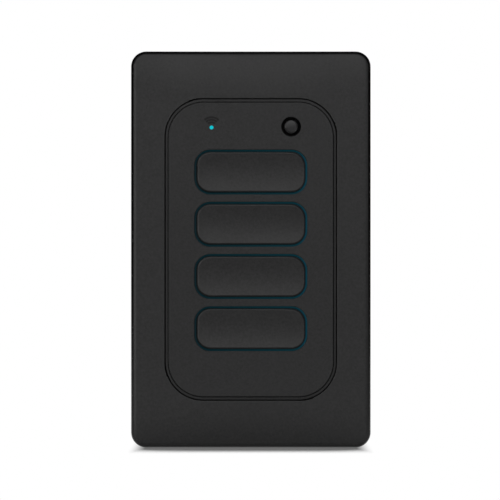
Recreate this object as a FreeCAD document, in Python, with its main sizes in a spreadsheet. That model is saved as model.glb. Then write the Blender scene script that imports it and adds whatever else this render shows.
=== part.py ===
import FreeCAD, Part
import math
import os
import re
import Sketcher

# Wireless remote wall switch with four lit keys, battery powered, for a single-gang wall box.
# X runs to the right, Z up, and the front faces -Y. The origin is the middle of the wall face.
# A depth is a distance from the wall towards the front, so a point at depth d has y = -d.

KEYS = range(1, 5)
LUGS = 3
CAPACITORS = 6
CORNERS = [(side, end) for side in (-1, 1) for end in (-1, 1)]
CLOSE = 0.01

document = FreeCAD.newDocument("WallSwitch")

# Driving dimensions, in millimetres and degrees
SIZES = {
    "overrun": 1.0,
    # Face plate
    "plate_width": 73.0,
    "plate_height": 120.5,
    "plate_corner": 4.8,
    "plate_depth": 13.4,
    "plate_draft": 1.0,
    "plate_wall": 2.0,
    "plate_front": 2.4,
    "plate_edge": 1.8,
    "wall_gap": 0.4,
    "crown_margin": 0.6,
    "crown_drop": 1.4,
    "crown_arc": 150.0,
    "window_edge": 0.3,
    "lip_wall": 1.4,
    "lip_length": 1.0,
    "pry_width": 9.0,
    "pry_depth": 1.1,
    "snap_width": 10.0,
    "snap_rise": 35.0,
    "hook_reach": 0.7,
    "hook_length": 1.5,
    "hook_land": 0.4,
    "snap_gap": 0.1,
    "stop_rise": 26.0,
    "stop_reach": 2.6,
    "stop_wall": 1.2,
    "stop_gap": 0.1,
    # Wall bracket
    "bracket_thickness": 1.6,
    "bracket_gap": 0.9,
    "bracket_corner": 2.4,
    "rim_wall": 1.4,
    "rim_lift": 2.6,
    "catch_lift": 1.4,
    "catch_reach": 0.5,
    "screw_spacing": 83.3,
    "slot_length": 7.0,
    "slot_radius": 2.1,
    "slot_land": 4.15,
    "opening_width": 38.0,
    "opening_corner": 4.0,
    "bar_height": 12.0,
    "stiffener_wall": 1.2,
    "stiffener_lift": 1.8,
    "stiffener_length": 96.0,
    "clip_rise": 20.0,
    "clip_width": 8.0,
    "clip_wall": 1.2,
    "clip_gap": 0.2,
    "nose_reach": 0.5,
    "nose_length": 1.0,
    # Module housing
    "housing_floor": 1.4,
    "housing_wall": 1.6,
    "housing_inset": 1.2,
    "housing_edge": 0.6,
    "ledge_lift": 2.6,
    "ledge_length": 1.0,
    "ledge_reach": 0.5,
    "relief_half": 6.5,
    "relief_reach": 4.65,
    "relief_depth": 3.4,
    "relief_wall": 1.4,
    "pillar_radius": 2.2,
    "pillar_side": 3.75,
    "pillar_end": 5.95,
    # Cell, its holder and its door
    "cell_radius": 10.0,
    "cell_thickness": 3.2,
    "cell_cap_radius": 8.8,
    "cell_cap": 0.3,
    "cell_edge": 0.5,
    "cell_play": 0.2,
    "cell_drop": 20.0,
    "contact_room": 0.8,
    "door_radius": 12.4,
    "door_play": 0.2,
    "door_sink": 0.1,
    "door_disc": 0.65,
    "door_seat": 0.8,
    "door_rim": 0.5,
    "lug_reach": 1.1,
    "lug_width": 4.0,
    "lug_lift": 0.1,
    "lug_thickness": 0.6,
    "lug_play": 0.3,
    "door_turn": 40.0,
    "door_edge": 0.25,
    "coin_slot_length": 13.0,
    "coin_slot_radius": 0.9,
    "coin_slot_depth": 0.8,
    "holder_wall": 1.3,
    "holder_lift": 3.0,
    "rib_wall": 1.2,
    "rib_lift": 0.9,
    "rib_play": 0.15,
    "contact_sheet": 0.2,
    "contact_width": 4.0,
    "contact_touch": 0.05,
    "leaf_foot": 4.0,
    "leaf_start": 8.0,
    "leaf_tip": 2.0,
    "arm_lift": 0.8,
    "arm_foot": 3.2,
    # Circuit board and what it carries
    "board_thickness": 1.0,
    "board_play": 0.3,
    "tact_side": 4.5,
    "tact_height": 1.5,
    "tact_floor": 0.3,
    "plunger_radius": 1.0,
    "plunger_play": 0.12,
    "plunger_lift": 0.5,
    "plunger_sink": 0.7,
    "lamp_inset": 1.725,
    "lamp_length": 1.6,
    "lamp_width": 1.0,
    "lamp_height": 0.6,
    "can_length": 16.0,
    "can_width": 13.0,
    "can_height": 1.9,
    "can_sheet": 0.2,
    "can_rise": 20.0,
    "chip_side": 5.0,
    "chip_height": 0.9,
    "crystal_length": 3.2,
    "crystal_width": 2.5,
    "crystal_height": 0.8,
    "antenna_length": 7.0,
    "antenna_width": 2.0,
    "antenna_height": 1.0,
    "antenna_inset": 2.6,
    "control_side": 6.0,
    "control_across": 8.6,
    "capacitor_length": 2.0,
    "capacitor_width": 1.25,
    "capacitor_height": 0.9,
    "capacitor_pitch": 3.4,
    "part_gap": 2.0,
    # Fascia
    "panel_width": 51.7,
    "panel_corner": 11.45,
    "panel_gap": 0.12,
    "head_room": 14.22,
    "foot_room": 13.66,
    "ring_drop": 0.5,
    "ring_thickness": 1.3,
    "ring_side": 0.9,
    "ring_end": 1.03,
    "ring_edge": 0.2,
    "field_corner": 10.6,
    "field_proud": 0.4,
    "field_thickness": 1.6,
    "field_edge": 0.2,
    "groove_width": 0.25,
    "groove_depth": 0.35,
    # Keys
    "key_pitch": 15.8,
    "key_web": 2.3,
    "key_travel": 0.4,
    "cap_width": 32.85,
    "cap_corner": 4.2,
    "cap_proud": 0.2,
    "cap_edge": 0.45,
    "cap_wall": 1.3,
    "dish_depth": 0.47,
    "halo_gap": 0.65,
    "halo_step": 0.2,
    "plug_lift": 0.5,
    "plug_play": 0.05,
    "flange_thickness": 0.8,
    "flange_overlap": 0.8,
    "flange_spacing": 0.7,
    "flange_play": 0.1,
    "ear_reach": 3.45,
    "ear_height": 5.2,
    "ear_corner": 1.2,
    "pin_reach": 1.75,
    "pin_radius": 0.7,
    "pin_play": 0.2,
    "pin_extra": 1.0,
    "post_radius": 1.5,
    "pipe_length": 2.0,
    "pipe_width": 3.0,
    "pipe_corner": 0.4,
    "pipe_play": 0.2,
    # Pairing button
    "pair_across": 12.18,
    "pair_rise": 5.84,
    "pair_radius": 2.05,
    "pair_gap": 0.92,
    "pair_sink": 0.25,
    "pair_dome": 0.3,
    "pair_edge": 0.35,
    "pair_flange": 0.85,
    # Status light
    "status_across": 11.9,
    "status_rise": 5.6,
    "lens_radius": 0.55,
    "lens_play": 0.05,
    "shoulder_radius": 1.3,
    "shoulder_length": 0.8,
    "stem_radius": 0.8,
    "stem_play": 0.3,
    # Housing screws
    "screw_radius": 0.85,
    "screw_play": 0.1,
    "screw_bite": 2.8,
    "head_radius": 1.6,
    "head_height": 1.0,
    "head_sink": 0.2,
    "head_play": 0.15,
    "recess_length": 2.0,
    "recess_width": 0.5,
    "recess_depth": 0.6,
    "pilot_play": 0.4,
}

sheet = document.addObject("Spreadsheet::Sheet", "Sizes")
for row, (name, size) in enumerate(SIZES.items(), 1):
    sheet.set(f"A{row}", name)
    sheet.set(f"B{row}", str(size))
    sheet.setAlias(f"B{row}", name)
document.recompute()

# Places that follow from the sizes, as formulas in their names
PANEL_HEIGHT = f"({len(KEYS)} * key_pitch + head_room + foot_room)"
KEYS_TOP = f"({PANEL_HEIGHT} / 2 - head_room)"
OPENING_HEIGHT = "(key_pitch - key_web)"
CAP_HEIGHT = f"({OPENING_HEIGHT} - 2 * halo_gap)"
LAMP_SIDE = "(cap_width / 2 - lamp_inset)"
PLATE_INSIDE = "(plate_width / 2 - plate_wall)"
RIM_SIDE = f"({PLATE_INSIDE} - bracket_gap)"
HOUSING_SIDE = "(panel_width / 2 - housing_inset)"
HOUSING_END = f"({PANEL_HEIGHT} / 2 - housing_inset)"
CAVITY_SIDE = f"({HOUSING_SIDE} - housing_wall)"
CAVITY_END = f"({HOUSING_END} - housing_wall)"
CAVITY_CORNER = "(panel_corner - housing_inset - housing_wall)"

# Depths, from the wall to the front
FLOOR_BACK = "bracket_thickness"
FLOOR_FRONT = f"({FLOOR_BACK} + housing_floor)"
CELL_BACK = f"({FLOOR_FRONT} + cell_play)"
CELL_FRONT = f"({CELL_BACK} + cell_thickness)"
BOARD_BACK = f"({CELL_FRONT} + contact_room)"
BOARD_FRONT = f"({BOARD_BACK} + board_thickness)"
TACT_FRONT = f"({BOARD_FRONT} + tact_height)"
PLUNGER_FRONT = f"({TACT_FRONT} + plunger_lift)"
FIELD_FRONT = "(plate_depth + field_proud)"
FIELD_BACK = f"({FIELD_FRONT} - field_thickness)"
RING_FRONT = "(plate_depth - ring_drop)"
RING_BACK = f"({RING_FRONT} - ring_thickness)"
FLANGE_FRONT = f"({FIELD_BACK} - flange_play)"
FLANGE_BACK = f"({FLANGE_FRONT} - flange_thickness)"
CAP_BACK = f"({FLANGE_FRONT} + halo_step)"
CAP_FRONT = f"({FIELD_FRONT} + cap_proud)"


def bound(formula):
    """Write a formula in the sheet's names so that any object of the document can read it."""
    return re.sub(r"[a-z_]+", lambda word: f"Sizes.{word[0]}" if word[0] in SIZES else word[0], formula)


def number(formula):
    """Work out a formula in the sheet's names."""
    return float(sheet.evalExpression(bound(formula)))


def bind(item, field, formula):
    item.setExpression(field, bound(formula))


# Sketches and features

def draft_on(body, name, role, x="0", y="0", z="0"):
    """Start a sketch on one of the body's own origin planes, shifted in the sketch's own axes."""
    sketch = body.newObject("Sketcher::SketchObject", name)
    plane = next(item for item in body.Origin.OriginFeatures if item.Role == role)
    sketch.AttachmentSupport = [(plane, "")]
    sketch.MapMode = "FlatFace"
    for axis, formula in zip("xyz", (x, y, z)):
        if formula != "0":
            bind(sketch, f"AttachmentOffset.Base.{axis}", formula)
    return sketch


def measure(sketch, kind, *target):
    """Constrain a length of the sketch to a formula, the last of the arguments."""
    *places, formula = target
    index = sketch.addConstraint(Sketcher.Constraint(kind, *places, number(formula)))
    bind(sketch, f"Constraints[{index}]", formula)


def locate(sketch, edge, point, x, y):
    """Fix a point of an edge at x and y from the sketch's origin."""
    for kind, axis, formula in (("DistanceX", -2, x), ("DistanceY", -1, y)):
        if formula == "0":
            sketch.addConstraint(Sketcher.Constraint("PointOnObject", edge, point, axis))
        else:
            measure(sketch, kind, -1, 1, edge, point, formula)


def line(start, end):
    return Part.LineSegment(FreeCAD.Vector(*start, 0), FreeCAD.Vector(*end, 0))


def arc(centre, radius, start, end):
    circle = Part.Circle(FreeCAD.Vector(*centre, 0), FreeCAD.Vector(0, 0, 1), radius)
    return Part.ArcOfCircle(circle, start, end)


def rounded(width, height, corner):
    """An upright rectangle with round corners, about the sketch's origin."""
    def draw(sketch):
        first = sketch.GeometryCount
        x = number(width) / 2
        y = number(height) / 2
        radius = number(corner)
        side = [(x - radius, y), (x, y - radius)]
        turns = [(1, -1, -math.pi / 2), (1, 1, 0), (-1, 1, math.pi / 2), (-1, -1, math.pi)]
        for index, (right, up, start) in enumerate(turns):
            flat, upright = [(right * a, up * b) for a, b in side]
            if index % 2 == 0:
                sketch.addGeometry(line((-flat[0], flat[1]), flat))
            else:
                sketch.addGeometry(line((upright[0], -upright[1]), upright))
            centre = (right * (x - radius), up * (y - radius))
            sketch.addGeometry(arc(centre, radius, start, start + math.pi / 2))
        for index in range(0, 8, 2):
            side_edge = first + index
            after = first + (index + 2) % 8
            sketch.addConstraint(Sketcher.Constraint("Tangent", side_edge, 2, side_edge + 1, 1))
            sketch.addConstraint(Sketcher.Constraint("Tangent", side_edge + 1, 2, after, 1))
            lies = "Vertical" if index % 4 else "Horizontal"
            sketch.addConstraint(Sketcher.Constraint(lies, side_edge))
            if index:
                sketch.addConstraint(Sketcher.Constraint("Equal", first + 1, side_edge + 1))
        sketch.addConstraint(Sketcher.Constraint("Symmetric", first, 1, first + 4, 1, -1, 1))
        measure(sketch, "DistanceX", first + 6, 1, first + 2, 1, width)
        measure(sketch, "DistanceY", first, 1, first + 4, 1, height)
        measure(sketch, "Radius", first + 1, corner)
    return draw


def oblong(length, radius, upright=True):
    """A slot with round ends about the sketch's origin."""
    def draw(sketch):
        first = sketch.GeometryCount
        reach = number(length) / 2 - number(radius)
        half = number(radius)
        if upright:
            corners = [(half, -reach), (half, reach), (-half, reach), (-half, -reach)]
            ends = [(0, reach), (0, -reach)]
            start = 0
        else:
            corners = [(-reach, -half), (reach, -half), (reach, half), (-reach, half)]
            ends = [(reach, 0), (-reach, 0)]
            start = -math.pi / 2
        sketch.addGeometry(line(corners[0], corners[1]))
        sketch.addGeometry(arc(ends[0], half, start, start + math.pi))
        sketch.addGeometry(line(corners[2], corners[3]))
        sketch.addGeometry(arc(ends[1], half, start + math.pi, start + 2 * math.pi))
        for index in range(4):
            after = first + (index + 1) % 4
            sketch.addConstraint(Sketcher.Constraint("Tangent", first + index, 2, after, 1))
        sketch.addConstraint(Sketcher.Constraint("Vertical" if upright else "Horizontal", first))
        sketch.addConstraint(Sketcher.Constraint("Equal", first + 1, first + 3))
        sketch.addConstraint(Sketcher.Constraint("Symmetric", first + 1, 3, first + 3, 3, -1, 1))
        measure(sketch, "Radius", first + 1, radius)
        measure(sketch, "DistanceY" if upright else "DistanceX", first + 3, 3, first + 1, 3,
                f"{length} - 2 * ({radius})")
    return draw


def circle(radius, x="0", y="0"):
    def draw(sketch):
        edge = sketch.GeometryCount
        centre = FreeCAD.Vector(number(x), number(y), 0)
        sketch.addGeometry(Part.Circle(centre, FreeCAD.Vector(0, 0, 1), number(radius)))
        locate(sketch, edge, 3, x, y)
        measure(sketch, "Radius", edge, radius)
    return draw


def circles(radius, places):
    return together(*[circle(radius, x, y) for x, y in places])


def together(*outlines):
    def draw(sketch):
        for outline in outlines:
            outline(sketch)
    return draw


def polygon(points):
    """A closed outline through points given as (x, y). A third value is the radius of the arc that
    ends at the point, positive where its centre lies to the left of the way round."""
    def draw(sketch):
        first = sketch.GeometryCount
        places = [FreeCAD.Vector(number(point[0]), number(point[1]), 0) for point in points]
        count = len(points)
        begins = []
        for index, start in enumerate(places):
            end = places[(index + 1) % count]
            bend = points[(index + 1) % count][2:]
            if not bend:
                sketch.addGeometry(Part.LineSegment(start, end))
                begins.append(1)
                continue
            radius = abs(number(bend[0]))
            left = number(bend[0]) > 0
            chord = end - start
            rise = math.sqrt(radius ** 2 - chord.Length ** 2 / 4) * (1 if left else -1)
            centre = (start + end) * 0.5 + FreeCAD.Vector(-chord.y, chord.x, 0) * (rise / chord.Length)
            angles = [math.atan2(spot.y - centre.y, spot.x - centre.x) for spot in (start, end)]
            if not left:
                angles.reverse()
            sketch.addGeometry(arc((centre.x, centre.y), radius, *angles))
            begins.append(1 if left else 2)
        for index, point in enumerate(points):
            after = (index + 1) % count
            sketch.addConstraint(Sketcher.Constraint(
                "Coincident", first + index, 3 - begins[index], first + after, begins[after]))
            locate(sketch, first + index, begins[index], point[0], point[1])
            bend = points[after][2:]
            if bend:
                measure(sketch, "Radius", first + index, bend[0].lstrip("-"))
    return draw


def rectangle(width, height):
    half = f"({width}) / 2"
    rise = f"({height}) / 2"
    return polygon([(f"-{half}", f"-{rise}"), (half, f"-{rise}"), (half, rise), (f"-{half}", rise)])


def spoke(inner, outer, width):
    """A bar along the sketch's X, from one radius to another."""
    half = f"({width}) / 2"
    return polygon([(inner, f"-{half}"), (outer, f"-{half}"), (outer, half), (inner, half)])


def new_body(label, x="0", z="0"):
    body = document.addObject("PartDesign::Body", label)
    body.Label = label
    for axis, formula in (("x", x), ("z", z)):
        if formula != "0":
            bind(body, f"Placement.Base.{axis}", formula)
    return body


def outline_at(body, name, outline, depth, x, z, spin):
    """Draw an outline at a depth, about the place x, z and turned by an angle about it."""
    sketch = draft_on(body, f"{name}_outline", "XZ_Plane", x, z, depth)
    if spin:
        bind(sketch, "AttachmentOffset.Rotation.Angle", spin)
    outline(sketch)
    return sketch


def add(body, name, outline, back, front, x="0", z="0", spin=None, draft=None):
    """Fill an outline from one depth to another."""
    sketch = outline_at(body, name, outline, back, x, z, spin)
    pad = body.newObject("PartDesign::Pad", name)
    pad.Profile = sketch
    bind(pad, "Length", f"({front}) - ({back})")
    if draft:
        bind(pad, "TaperAngle", f"-{draft}")
    return pad


def cut(body, name, outline, back, front, x="0", z="0", spin=None):
    """Cut an outline out of the body from one depth to another."""
    sketch = outline_at(body, name, outline, front, x, z, spin)
    pocket = body.newObject("PartDesign::Pocket", name)
    pocket.Profile = sketch
    bind(pocket, "Length", f"({front}) - ({back})")
    return pocket


def add_across(body, name, points, width, z):
    """Fill a section, given as (x, depth), to both sides of the height z."""
    sketch = draft_on(body, f"{name}_section", "XY_Plane", z=z)
    polygon([(x, f"-({depth})") for x, depth in points])(sketch)
    pad = body.newObject("PartDesign::Pad", name)
    pad.Profile = sketch
    pad.SideType = "Symmetric"
    bind(pad, "Length", width)
    return pad


def turn(body, name, section, kind, x="0", z="0"):
    """Revolve or groove a section, given as (depth, radius), about an axis along the depth."""
    sketch = draft_on(body, f"{name}_section", "YZ_Plane", y=z, z=x)
    polygon([(f"-({point[0]})", *point[1:]) for point in section])(sketch)
    feature = body.newObject(f"PartDesign::{kind}", name)
    feature.Profile = sketch
    feature.ReferenceAxis = (sketch, ["H_Axis"])
    feature.Angle = 360
    return feature


def repeat(body, name, features, kind, axis, count, field, formula):
    """Repeat features along or about an axis."""
    pattern = body.newObject(f"PartDesign::{kind}", name)
    pattern.Originals = features
    setattr(pattern, "Direction" if kind == "LinearPattern" else "Axis", axis)
    pattern.Occurrences = count
    bind(pattern, field, formula)
    body.Tip = pattern
    return pattern


def origin_axis(body, role):
    return (next(item for item in body.Origin.OriginFeatures if item.Role == role), [""])


def at_depth(edge, formula):
    return all(abs(vertex.Y + number(formula)) < CLOSE for vertex in edge.Vertexes)


def round_edges(body, name, radius, wanted):
    document.recompute()
    base = body.Tip
    names = [f"Edge{index}" for index, edge in enumerate(base.Shape.Edges, 1) if wanted(edge)]
    fillet = body.newObject("PartDesign::Fillet", name)
    fillet.Base = (base, names)
    bind(fillet, "Radius", radius)
    return fillet


# Plain primitives, standing on a depth and facing the front

FACING = FreeCAD.Rotation(FreeCAD.Vector(1, 0, 0), 90)


def stand(item, x, depth, z):
    item.Label = item.Name
    item.Placement = FreeCAD.Placement(FreeCAD.Vector(), FACING)
    bind(item, "Placement.Base.x", x)
    bind(item, "Placement.Base.y", f"-({depth})")
    bind(item, "Placement.Base.z", z)


def block(name, x, z, back, length, width, height):
    box = document.addObject("Part::Box", name)
    bind(box, "Length", length)
    bind(box, "Width", width)
    bind(box, "Height", height)
    stand(box, f"{x} - ({length}) / 2", back, f"{z} - ({width}) / 2")
    return box


def rod(name, x, z, back, radius, height):
    cylinder = document.addObject("Part::Cylinder", name)
    bind(cylinder, "Radius", radius)
    bind(cylinder, "Height", height)
    stand(cylinder, x, back, z)
    return cylinder


def subtract(name, base, tool):
    result = document.addObject("Part::Cut", name)
    result.Label = name
    result.Base = base
    result.Tool = tool
    return result


def group(name, pieces):
    result = document.addObject("Part::Compound", name)
    result.Label = name
    result.Links = pieces
    return result


nodes = []


def key_height(key):
    return f"{KEYS_TOP} - {key - 0.5} * key_pitch"


# Wall bracket: frame screwed to the wall, with a rim and catches for the plate and clips for the module

bracket = new_body("wall_bracket")
nodes.append(bracket)
bracket_width = f"2 * {RIM_SIDE}"
bracket_height = "plate_height - 2 * (plate_wall + bracket_gap)"
rim_front = f"({FLOOR_BACK} + rim_lift)"
bracket_outline = rounded(bracket_width, bracket_height, "bracket_corner")
add(bracket, "bracket_sheet", bracket_outline, "0", FLOOR_BACK)
add(bracket, "bracket_rim", together(
    bracket_outline,
    rounded(f"{bracket_width} - 2 * rim_wall", f"{bracket_height} - 2 * rim_wall",
            "bracket_corner - rim_wall"),
), FLOOR_BACK, rim_front)
clip_face = f"({HOUSING_SIDE} + ledge_reach + clip_gap)"
for side in (-1, 1):
    middle = f"{side} * ({clip_face} + clip_wall + {RIM_SIDE} - rim_wall) / 2"
    add(bracket, "stiffener", oblong("stiffener_length", "stiffener_wall / 2"),
        FLOOR_BACK, f"{FLOOR_BACK} + stiffener_lift", x=middle)
opening_top = "(screw_spacing / 2 - slot_length / 2 - slot_land)"
opening_height = f"({opening_top} - bar_height / 2)"
for end in (-1, 1):
    cut(bracket, "bracket_opening", rounded("opening_width", opening_height, "opening_corner"),
        "0", FLOOR_BACK, z=f"{end} * ({opening_top} + bar_height / 2) / 2")
    cut(bracket, "screw_slot", oblong("slot_length", "slot_radius"),
        "0", FLOOR_BACK, z=f"{end} * screw_spacing / 2")
catch_back = f"({FLOOR_BACK} + catch_lift)"
ledge_back = f"({FLOOR_BACK} + ledge_lift)"
nose_back = f"({ledge_back} + ledge_length + snap_gap)"
for side, end in CORNERS:
    catch = [
        (f"{RIM_SIDE} - rim_wall / 2", catch_back),
        (f"{RIM_SIDE} + catch_reach", catch_back),
        (RIM_SIDE, f"{catch_back} + 2 * catch_reach"),
        (f"{RIM_SIDE} - rim_wall / 2", f"{catch_back} + 2 * catch_reach"),
    ]
    clip = [
        (clip_face, f"{FLOOR_BACK} / 2"),
        (f"{clip_face} + clip_wall", f"{FLOOR_BACK} / 2"),
        (f"{clip_face} + clip_wall", f"{nose_back} + nose_length"),
        (clip_face, f"{nose_back} + nose_length"),
        (f"{clip_face} - nose_reach", f"{nose_back} + nose_length / 2"),
        (f"{clip_face} - nose_reach", nose_back),
        (clip_face, nose_back),
    ]
    for name, section, width, rise in (
        ("plate_catch", catch, "snap_width", "snap_rise"),
        ("module_clip", clip, "clip_width", "clip_rise"),
    ):
        points = [(f"{side} * ({x})", depth) for x, depth in section]
        add_across(bracket, name, points, width, f"{end} * {rise}")

# Rear housing: tray behind the fascia, with pillars, a cell holder and bays for the wall screws

housing = new_body("rear_housing")
nodes.append(housing)
housing_outline = rounded(f"2 * {HOUSING_SIDE}", f"2 * {HOUSING_END}", "panel_corner - housing_inset")
cavity_outline = rounded(f"2 * {CAVITY_SIDE}", f"2 * {CAVITY_END}", CAVITY_CORNER)
pillars = [
    (f"{side} * ({CAVITY_SIDE} - pillar_side)", f"{end} * ({CAVITY_END} - pillar_end)")
    for side, end in CORNERS
]
relief_roof = f"({FLOOR_BACK} + relief_depth + relief_wall)"
relief_inner = "(screw_spacing / 2 - relief_reach)"
relief_outer = f"({HOUSING_END} + overrun)"
boss_radius = "(cell_radius + cell_play + door_rim)"
lug_radius = f"({boss_radius} + lug_reach)"
holder_inside = f"({lug_radius} + 2 * lug_play)"
add(housing, "tray", housing_outline, FLOOR_BACK, RING_BACK)
round_edges(housing, "tray_edge", "housing_edge", lambda edge: at_depth(edge, FLOOR_BACK))
cut(housing, "cavity", cavity_outline, FLOOR_FRONT, RING_BACK)
add(housing, "pillars", circles("pillar_radius", pillars), FLOOR_FRONT, BOARD_BACK)
add(housing, "holder", together(circle(f"{holder_inside} + holder_wall"), circle(holder_inside)),
    FLOOR_FRONT, f"{FLOOR_FRONT} + holder_lift", z="-cell_drop")
bay_half = "(relief_half + relief_wall)"
bay_inner = f"({relief_inner} - relief_wall)"
bay_outer = f"({CAVITY_END} + housing_wall / 2)"
for end in (-1, 1):
    add(housing, "bay", rectangle(f"2 * {bay_half}", f"{bay_outer} - {bay_inner}"),
        FLOOR_FRONT, relief_roof, z=f"{end} * ({bay_outer} + {bay_inner}) / 2")
for end in (-1, 1):
    cut(housing, "screw_bay", rectangle("2 * relief_half", f"{relief_outer} - {relief_inner}"),
        FLOOR_BACK, f"{FLOOR_BACK} + relief_depth", z=f"{end} * ({relief_outer} + {relief_inner}) / 2")
cut(housing, "door_seat", circle("door_radius + door_play"),
    FLOOR_BACK, f"{FLOOR_BACK} + door_seat", z="-cell_drop")
throat = cut(housing, "throat", circle(f"{boss_radius} + door_play"),
             FLOOR_BACK, FLOOR_FRONT, z="-cell_drop")
cell_axis = (throat.Profile[0], ["N_Axis"])
notch_outline = spoke(f"{boss_radius} - door_rim", f"{lug_radius} + lug_play", "lug_width + 2 * lug_play")
notch = cut(housing, "notch", notch_outline, FLOOR_BACK, FLOOR_FRONT, z="-cell_drop", spin="90 + door_turn")
repeat(housing, "notches", [notch], "PolarPattern", cell_axis, LUGS, "Angle", "360")
rib_outline = spoke("cell_radius + rib_play", f"{holder_inside} + holder_wall / 2", "rib_wall")
rib = add(housing, "rib", rib_outline, f"{FLOOR_FRONT} + rib_lift", f"{FLOOR_FRONT} + holder_lift",
          z="-cell_drop", spin=f"90 - 180 / {LUGS}")
repeat(housing, "ribs", [rib], "PolarPattern", cell_axis, LUGS, "Angle", "360")
cut(housing, "screw_holes", circles("screw_radius + screw_play", pillars), FLOOR_BACK, BOARD_BACK)
cut(housing, "head_bores", circles("head_radius + head_play", pillars),
    FLOOR_BACK, f"{FLOOR_BACK} + head_sink + head_height")
for side, end in CORNERS:
    ledge = [
        (f"{HOUSING_SIDE} - housing_wall / 2", ledge_back),
        (f"{HOUSING_SIDE} + ledge_reach", ledge_back),
        (f"{HOUSING_SIDE} + ledge_reach", f"{ledge_back} + ledge_length"),
        (f"{HOUSING_SIDE} - housing_wall / 2", f"{ledge_back} + ledge_length"),
    ]
    add_across(housing, "ledge", [(f"{side} * ({x})", depth) for x, depth in ledge],
               "clip_width", f"{end} * clip_rise")

# Battery door: bayonet cover, turned with a coin

door = new_body("battery_door", z="-cell_drop")
nodes.append(door)
door_back = f"({FLOOR_BACK} + door_sink)"
lug_back = f"({FLOOR_FRONT} + lug_lift)"
lug_front = f"({lug_back} + lug_thickness)"
disc = add(door, "door_disc", circle("door_radius"), door_back, f"{door_back} + door_disc")
round_edges(door, "door_edge", "door_edge", lambda edge: at_depth(edge, door_back))
add(door, "door_boss", circle(boss_radius), f"{door_back} + door_disc", lug_back)
add(door, "door_collar", together(circle(boss_radius), circle("cell_radius + cell_play")),
    lug_back, lug_front)
lug = add(door, "lug", spoke(f"{boss_radius} - door_rim / 2", lug_radius, "lug_width"),
          lug_back, lug_front, spin="90")
repeat(door, "lugs", [lug], "PolarPattern", (disc.Profile[0], ["N_Axis"]), LUGS, "Angle", "360")
cut(door, "coin_slot", oblong("coin_slot_length", "coin_slot_radius", upright=False),
    door_back, f"{door_back} + coin_slot_depth")

# Coin cell: steel can with a smaller cap on the board's side

cell = new_body("coin_cell", z="-cell_drop")
nodes.append(cell)
add(cell, "cell_can", circle("cell_radius"), CELL_BACK, f"{CELL_FRONT} - cell_cap")
round_edges(cell, "cell_edge", "cell_edge", lambda edge: at_depth(edge, CELL_BACK))
add(cell, "cell_cap", circle("cell_cap_radius"), f"{CELL_FRONT} - cell_cap", CELL_FRONT)

# Contacts: bent strips soldered to the back of the board

leaf = new_body("negative_contact")
nodes.append(leaf)
leaf_touch = f"({CELL_FRONT} + contact_touch)"
add_across(leaf, "leaf", [
    ("-leaf_start", BOARD_BACK),
    ("-leaf_start", f"{BOARD_BACK} - contact_sheet"),
    ("leaf_foot - leaf_start", f"{BOARD_BACK} - contact_sheet"),
    ("0", leaf_touch),
    ("leaf_tip", leaf_touch),
    ("leaf_tip", f"{leaf_touch} + contact_sheet"),
    ("contact_sheet / 2", f"{leaf_touch} + contact_sheet"),
    ("leaf_foot - leaf_start + contact_sheet / 2", BOARD_BACK),
], "contact_width", "-cell_drop")

arm = new_body("positive_contact")
nodes.append(arm)
arm_inside = "(cell_radius + contact_touch)"
arm_back = f"({CELL_BACK} + arm_lift)"
add_across(arm, "arm", [
    (arm_inside, arm_back),
    (f"{arm_inside} + contact_sheet", arm_back),
    (f"{arm_inside} + contact_sheet", f"{BOARD_BACK} - contact_sheet"),
    (f"{arm_inside} + arm_foot", f"{BOARD_BACK} - contact_sheet"),
    (f"{arm_inside} + arm_foot", BOARD_BACK),
    (arm_inside, BOARD_BACK),
], "contact_width", "-cell_drop")

# Circuit board, held between the housing's pillars and the fascia's bosses

board = new_body("circuit_board")
nodes.append(board)
add(board, "laminate", rounded(
    f"2 * ({CAVITY_SIDE} - board_play)", f"2 * ({CAVITY_END} - board_play)", f"{CAVITY_CORNER} - board_play",
), BOARD_BACK, BOARD_FRONT)
cut(board, "board_holes", circles("screw_radius + screw_play", pillars), BOARD_BACK, BOARD_FRONT)

# Push switches, one behind each key and one behind the pairing button

pair_height = f"({KEYS_TOP} + pair_rise)"
switches = [("0", key_height(key)) for key in KEYS] + [("pair_across", pair_height)]
for index, (x, z) in enumerate(switches, 1):
    case = block(f"tact_case_{index}", x, z, BOARD_FRONT, "tact_side", "tact_side", "tact_height")
    bore = rod(f"tact_bore_{index}", x, z, f"{BOARD_FRONT} + tact_floor",
               "plunger_radius + plunger_play", "tact_height")
    nodes.append(subtract(f"tact_switch_{index}", case, bore))
    nodes.append(rod(f"tact_plunger_{index}", x, z, f"{TACT_FRONT} - plunger_sink",
                     "plunger_radius", "plunger_sink + plunger_lift"))

# Lamps: one at the right end of each key, and one behind the status lens

for key in KEYS:
    nodes.append(block(f"halo_led_{key}", LAMP_SIDE, key_height(key), BOARD_FRONT,
                       "lamp_length", "lamp_width", "lamp_height"))
status_height = f"({KEYS_TOP} + status_rise)"
nodes.append(block("status_led", "-status_across", status_height, BOARD_FRONT,
                   "lamp_length", "lamp_width", "lamp_height"))

# Radio on the back of the board, under a drawn tin can, and the parts round it

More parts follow.
